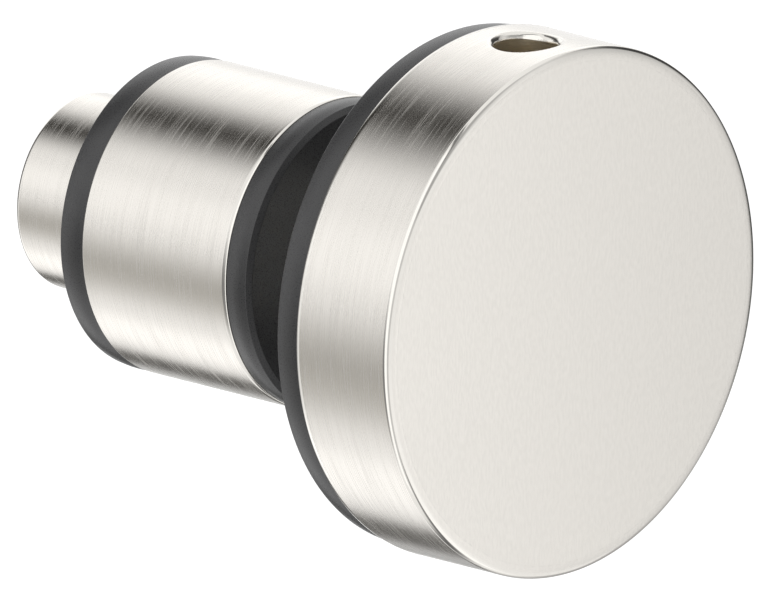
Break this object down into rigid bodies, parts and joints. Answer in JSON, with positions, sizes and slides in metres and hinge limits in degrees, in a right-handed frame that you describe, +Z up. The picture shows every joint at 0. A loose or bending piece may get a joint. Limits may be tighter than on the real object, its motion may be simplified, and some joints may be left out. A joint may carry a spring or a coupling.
{
  "type": "through-glass shower screen bracket",
  "caption": "Round brushed metal clamp on a stand-off. A screw-on disc with a tommy-bar hole grips a glass panel between rubber gaskets, and a spigot plugs into a wall or rail.",
  "frame": {"origin": "on the bracket's axis, where the rear gasket meets the wall or rail, at the root of the spigot", "axes": "+X along the axis from the wall towards the clamp disc's face, +Z up through the tommy-bar hole"},
  "size_m": [0.0615, 0.05, 0.05],
  "materials": {
    "brushed_metal": "warm brushed nickel",
    "stud_steel": "plain threaded steel",
    "gasket_rubber": "matt dark grey",
    "sleeve_plastic": "milky"
  },
  "bodies": {
    "bracket": {"body": "brushed_metal", "clamp_stud": "stud_steel", "glass_sleeve": "sleeve_plastic", "front_gasket": "gasket_rubber", "rear_gasket": "gasket_rubber", "end_barrel": "brushed_metal"},
    "gasket": {"disc_gasket": "gasket_rubber"},
    "disc": {"clamp_disc": "brushed_metal"}
  },
  "joints": [
    {"name": "disc_travel", "type": "slide", "parent": "bracket", "child": "gasket", "axis": [1, 0, 0], "range_m": [-0.00282, 0.00407]},
    {"name": "disc_turn", "type": "hinge", "parent": "gasket", "child": "disc", "pos_m": [0.0364, 0, 0], "axis": [1, 0, 0], "range_deg": [-810, 1170]}
  ],
  "couplings": [
    {"joint": "disc_travel", "follows": "disc_turn", "m_per_rad": 0.00019894}
  ]
}
